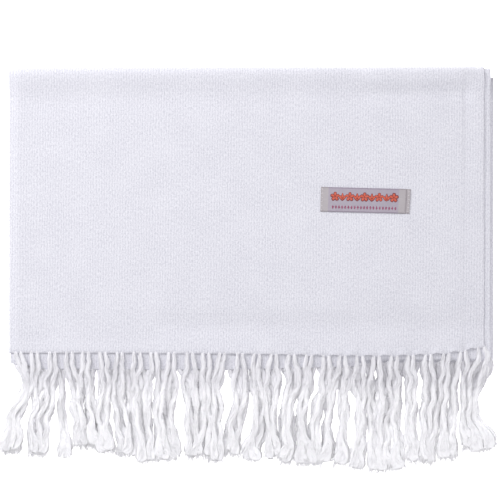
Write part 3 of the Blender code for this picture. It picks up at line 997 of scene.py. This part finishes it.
def addHairs(curve, way, line, chance):
    # The loose ends of a tuft, and a few stray hairs along the strand.
    length = way["length"]
    steps = len(line) - 1

    def onLine(drop):
        return line[min(int(drop / length * steps), steps)]

    e = looseEnds
    for _ in range(e["count"]):
        first = length - strands["tuftLength"] * chance.uniform(*e["from"])
        last = length + chance.uniform(*e["past"])
        out = either(chance, 1) * way["tuft"] * e["aside"]
        height = chance.uniform(*e["height"])
        bend = either(chance, e["bend"])
        path = []
        for j in range(e["points"]):
            t = j / (e["points"] - 1)
            drop = mix(first, last, t)
            x, y, z = onLine(drop)
            x = x + out * t ** e["fan"] + bend * math.sin(j * e["bendTurn"] + out)
            path.append((x, y - max(drop - length, 0.0), max(mix(z + e["rise"], height, t * t), e["least"])))
        radii = np.linspace(1.0, e["thinned"], e["points"]) * e["radius"] / plies["radius"]
        addThread(curve, path, radii)
    h = strayHairs
    for _ in range(h["count"]):
        first = length * chance.uniform(*h["from"])
        side = chance.choice((-1, 1))
        out = side * strands["width"] * chance.uniform(*h["aside"])
        path = []
        for j in range(h["points"]):
            t = j / (h["points"] - 1)
            x, y, z = onLine(first + h["length"] * t)
            lean = math.sin(math.pi * (h["arcFrom"] + h["arc"] * t))
            path.append((x + out * lean, y, max(z + h["rise"] * lean, h["least"])))
        addThread(curve, path, np.full(h["points"], h["radius"] / plies["radius"]))


def threadMesh(name, curve):
    # Three-sided threads: the curve is bevelled by a small triangle and made a mesh.
    radius = plies["radius"] * mm
    section = bpy.data.curves.new(name + "_section", "CURVE")
    section.splines.new("POLY").points.add(2)
    section.splines[0].use_cyclic_u = True
    for k, point in enumerate(section.splines[0].points):
        angle = 2 * math.pi * k / 3
        point.co = (radius * math.cos(angle), radius * math.sin(angle), 0, 1)
    sectionObject = bpy.data.objects.new(name + "_section", section)
    curve.bevel_mode = "OBJECT"
    curve.bevel_object = sectionObject
    curve.use_fill_caps = True
    guide = linked(name + "_guide", curve)
    bpy.context.view_layer.update()
    mesh = bpy.data.meshes.new_from_object(guide.evaluated_get(bpy.context.evaluated_depsgraph_get()))
    bpy.data.objects.remove(guide)
    bpy.data.objects.remove(sectionObject)
    return mesh


def makeFringe(row, ways, lines):
    chance = random.Random(row["seed"])
    bm = bmesh.new()
    bm.loops.layers.uv.new("clothMap")
    curve = bpy.data.curves.new(row["name"], "CURVE")
    curve.dimensions = "3D"
    for way, line in zip(ways, lines):
        addSkin(bm, way, line, chance)
        addPlies(curve, way, line, chance)
        addHairs(curve, way, line, chance)
    bm.from_mesh(threadMesh(row["name"], curve))
    bmesh.ops.remove_doubles(bm, verts=bm.verts[:], dist=0.001 * mm)
    bmesh.ops.recalc_face_normals(bm, faces=bm.faces[:])
    mapFlat(bm, bm.loops.layers.uv["clothMap"], mm)
    return addPiece(row["name"] + "_yarn", bm, yarnMaterial, smooth=True)


fringePieces = {}
lying = []
layoutChance = random.Random(tassels["seed"])
for row in (dict(zip(fringeColumns, values)) for values in fringeTable):
    ways = strandWays(row, layoutChance)
    laid = [laidStrand(row, way, np.array(lying)) for way in ways]
    for points in laid:
        lying += coveredPoints(points)
    lines = [centreLine(way, points) for way, points in zip(ways, laid)]
    fringePieces[row["name"]] = makeFringe(row, ways, lines)
    print(row["name"], "made:", len(fringePieces[row["name"]].data.polygons), "faces")


label = {
    "corners": [(54.9, 17.0), (120.9, 15.3), (119.8, -2.8), (54.4, -1.2)],
    "height": 0.75,
    "thickness": 0.35,
    "columnPlaces": (0.0, 0.94, 1.0),
    "columnSteps": (110, 30),
    "rows": 18,
    "buckle": 0.12,
    "buckleScale": (5, 2),
    "leftEnd": 0.085,  # share of the length that is the plain end
    "rightEnd": 0.875,
    "seam": 0.966,  # the end is folded under here
    "seamWidth": 0.010,
    "seamDepth": 0.35,
    "plain": (0.415, 0.376, 0.405),
    "field": (0.365, 0.315, 0.395),
    "red": (0.53, 0.062, 0.02),
    "deepRed": (0.16, 0.02, 0.025),
    "wine": (0.25, 0.04, 0.11),
    "thread": (0.60, 0.57, 0.60),
    "threadScale": (14, 90, 1),
    "threadShade": 0.35,
    "roughness": 0.38,
    "sheen": 0.2,
    "bump": 0.4,
    "bumpHeight": 0.0001,
}
labelWide = label["corners"][1][0] - label["corners"][0][0]
labelTall = label["corners"][0][1] - label["corners"][3][1]


def labelPoint(across, down, height):
    (x0, y0), (x1, y1), (x2, y2), (x3, y3) = label["corners"]
    x = mix(mix(x0, x1, across), mix(x3, x2, across), down)
    y = mix(mix(y0, y1, across), mix(y3, y2, across), down)
    return x, y, lift(x, y, fold["stack"]) + height


def makeLabelMaterial():
    material, tree, shader = shaderMaterial("satin_tape", label["field"], label)
    place = clothPlace(tree)
    along = addNode(tree, "ShaderNodeSeparateXYZ", {"Vector": place}).outputs["X"]
    fromLeft = mathNode(tree, "GREATER_THAN", along, label["leftEnd"])
    fromRight = mathNode(tree, "LESS_THAN", along, label["rightEnd"])
    inField = mathNode(tree, "MULTIPLY", fromLeft, fromRight)
    threads = noiseOn(tree, mapped(tree, place, label["threadScale"]))
    ground = mixedColor(tree, inField, (*label["plain"], 1), (*label["field"], 1))
    color = mixedColor(tree, label["threadShade"], ground, threads, "MULTIPLY")
    dress(tree, shader, label, threads, color)
    return material


def makeLabel():
    columns = spaced(label["columnPlaces"], label["columnSteps"])
    rows = spaced((0.0, 1.0), (label["rows"],))
    scaleX, scaleY = label["buckleScale"]

    def placed(across, up):
        buckle = ripple(across * scaleX, up * scaleY, seed=1.0, reach=1.0)
        seam = math.exp(-(((across - label["seam"]) / label["seamWidth"]) ** 2))
        height = label["height"] + label["buckle"] * buckle - label["seamDepth"] * seam
        return labelPoint(across, 1 - up, height)

    piece = clothGrid("label_tape", columns, rows, placed, makeLabelMaterial())
    thicken(piece, label["thickness"])
    return piece


motif = {
    "repeats": 5,  # of a rosette and a palmette, by turns
    "rowFrom": 0.12,
    "rowTo": 0.86,
    "down": 0.37,
    "petals": 5,
    "petalLength": 3.2,
    "petalWidth": 1.9,
    "petalOut": 1.7,
    "leafLength": 5.8,
    "leafWidth": 1.8,
    "leafPoints": 10,
    "leafTaper": 0.35,
    "sideLeafLength": 4.4,
    "leafLean": 0.75,  # of a palmette's side leaves
    "leafAside": 1.35,
    "leafDown": 0.5,
    "outline": 0.5,  # how far the dark edge stands out all round
    "beads": 21,
    "beadDown": 0.80,
    "beadWidth": 0.805,  # from a lozenge's middle to its side
    "beadHeight": 1.495,
    "stitches": 6,
    "stitchLength": 1.9,
    "stitchWidth": 0.35,
    "stitchPoints": 8,
    "stitchLean": 1.2,
    "stitchPlaces": (0.014, 0.986),
    "edgeRise": 0.10,
    "rise": 0.20,
    "crown": 0.72,  # size of a pad's top to its foot
    "threadScale": (3000, 900, 900),
    "threadTurn": 0.4,
    "roughness": 0.45,
    "sheen": 0.3,
    "bump": 0.5,
    "bumpHeight": 0.0001,
}


def addPad(bm, points, x, y, lean, rise):
    # A small stitched pad: an outline of a few points is drawn up, turned and laid on the label, at x
    # and y from its corner.
    foot = bmesh.ops.create_circle(bm, cap_ends=True, segments=len(points), radius=1.0)["verts"]
    for vert, (a, b) in zip(foot, points):
        vert.co = (a, b, 0.0)
    raised = bmesh.ops.extrude_face_region(bm, geom=foot[0].link_faces[:])
    top = [v for v in raised["geom"] if isinstance(v, bmesh.types.BMVert)]
    middle = sum((v.co for v in top), Vector()) / len(top)
    for vert in top:
        vert.co = middle + (vert.co - middle) * motif["crown"]
        vert.co.z = rise
    for vert in foot + top:
        a = vert.co.x * math.cos(lean) - vert.co.y * math.sin(lean)
        b = vert.co.x * math.sin(lean) + vert.co.y * math.cos(lean)
        height = label["height"] + vert.co.z
        vert.co = Vector(labelPoint((x + a) / labelWide, (y - b) / labelTall, height)) * mm


def leafOutline(length, width, count):
    points = []
    for k in range(count):
        angle = 2 * math.pi * k / count
        taper = 1 - motif["leafTaper"] * math.sin(angle)
        points.append((0.5 * width * math.cos(angle) * taper, 0.5 * length * math.sin(angle)))
    return points


def drawFlowers(bm, grow, rise):  # a row of rosettes and three-leaved palmettes, by turns
    m = motif
    down = m["down"] * labelTall
    petal = leafOutline(m["petalLength"] + grow, m["petalWidth"] + grow, m["leafPoints"])
    leaf = leafOutline(m["leafLength"] + grow, m["leafWidth"] + grow, m["leafPoints"])
    sideLeaf = leafOutline(m["sideLeafLength"] + grow, m["leafWidth"] + grow, m["leafPoints"])
    count = 2 * m["repeats"] - 1
    step = (m["rowTo"] - m["rowFrom"]) / count
    for k in range(count):
        x = (m["rowFrom"] + (k + 0.5) * step) * labelWide
        if k % 2 == 0:
            for j in range(m["petals"]):
                angle = 2 * math.pi * j / m["petals"]
                aside = m["petalOut"] * math.sin(angle)
                addPad(bm, petal, x - aside, down - m["petalOut"] * math.cos(angle), angle + math.pi, rise)
        else:
            addPad(bm, leaf, x, down, 0.0, rise)
            for side in (-1, 1):
                aside = side * m["leafAside"]
                addPad(bm, sideLeaf, x + aside, down + m["leafDown"], -side * m["leafLean"], rise)


def drawBeads(bm):
    m = motif
    outline = [(m["beadWidth"], 0), (0, m["beadHeight"]), (-m["beadWidth"], 0), (0, -m["beadHeight"])]
    for k in range(m["beads"]):
        share = mix(m["rowFrom"], m["rowTo"], (k + 0.5) / m["beads"])
        addPad(bm, outline, share * labelWide, m["beadDown"] * labelTall, 0.0, m["rise"])


def drawStitches(bm):
    m = motif
    outline = leafOutline(m["stitchLength"], m["stitchWidth"], m["stitchPoints"])
    for place in m["stitchPlaces"]:
        for k in range(m["stitches"]):
            down = (k + 0.5) / m["stitches"] * labelTall
            addPad(bm, outline, place * labelWide, down, m["stitchLean"] * (-1) ** k, m["rise"])


def makeMotif(name, color, draw, *sizes):
    bm = bmesh.new()
    draw(bm, *sizes)
    bmesh.ops.recalc_face_normals(bm, faces=bm.faces[:])
    material, tree, shader = shaderMaterial(name + "_silk", color, motif)
    place = addNode(tree, "ShaderNodeTexCoord").outputs["Object"]
    threads = noiseOn(tree, mapped(tree, place, motif["threadScale"], motif["threadTurn"]), 1.0, 0.5)
    dress(tree, shader, motif, threads)
    return addPiece(name, bm, material)


labelPiece = makeLabel()
flowerPiece = makeMotif("label_flowers", label["red"], drawFlowers, 0.0, motif["rise"])
edgePiece = makeMotif("label_edges", label["deepRed"], drawFlowers, 2 * motif["outline"], motif["edgeRise"])
beadPiece = makeMotif("label_lozenges", label["wine"], drawBeads)
stitchPiece = makeMotif("label_stitches", label["thread"], drawStitches)
print("label made")


floor = {"size": 3.0, "color": (0.95, 0.95, 0.95), "roughness": 0.9, "specular": 0.0, "glow": 0.8}


def makeFloor():
    bm = bmesh.new()
    bmesh.ops.create_grid(bm, x_segments=1, y_segments=1, size=floor["size"])
    addPiece("floor", bm, shaderMaterial("white_floor", floor["color"], floor)[0])


# Soft lights, in metres: place, size, power.
lights = {
    "key": ((-0.95, 0.75, 0.95), 0.9, 18.0),
    "fill": ((1.45, -0.25, 0.08), 0.18, 6.0),
    "front": ((0.8, -1.3, 0.14), 0.7, 5.0),
    "top": ((0.0, 0.0, 1.7), 0.5, 10.7),
}

studio = {
    "world": 0.34,
    "target": (-0.02, -0.03, 0.0),
    "cameraX": 2.6,
    "cameraY": -29.5,
    "frameWidth": 368.5,
    "lens": 120.0,
    "sensor": 36.0,
    "nearest": 0.05,
}


def makeStudio():
    world = bpy.data.worlds.new("studio")
    world.use_nodes = True
    background = world.node_tree.nodes["Background"]
    background.inputs["Color"].default_value = (1, 1, 1, 1)
    background.inputs["Strength"].default_value = studio["world"]
    bpy.context.scene.world = world
    for name, (place, size, power) in lights.items():
        lamp = bpy.data.lights.new(name, "AREA")
        lamp.energy = power
        lamp.size = size
        lampObject = linked(name, lamp)
        lampObject.location = place
        aim = Vector(studio["target"]) - Vector(place)
        lampObject.rotation_euler = aim.to_track_quat("-Z", "Y").to_euler()


def makeCamera():
    s = studio
    lens = bpy.data.cameras.new("camera")
    lens.lens = s["lens"]
    lens.sensor_width = s["sensor"]
    lens.sensor_fit = "HORIZONTAL"
    lens.clip_start = s["nearest"]
    camera = linked("camera", lens)
    away = s["frameWidth"] * s["lens"] / s["sensor"]
    camera.location = Vector((s["cameraX"], s["cameraY"], away + fold["stack"])) * mm
    bpy.context.scene.camera = camera


makeFloor()
makeStudio()
makeCamera()
bpy.context.scene.view_settings.view_transform = "Standard"
print("studio made")


for piece, slot, nodes in (
    (upperPiece, "upper_layer", ["upper_layer"]),
    (secondPiece, "second_layer", ["second_layer"]),
    (innerPiece, "hidden_layers", ["hidden_layers"]),
    (labelPiece, "label", ["label"]),
    (flowerPiece, "label", []),
    (edgePiece, "label", []),
    (beadPiece, "label", []),
    (stitchPiece, "label", []),
):
    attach(piece, "root")
    if nodes:
        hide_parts(*nodes)
for name, piece in fringePieces.items():
    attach(piece, "root")
    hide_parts(name)
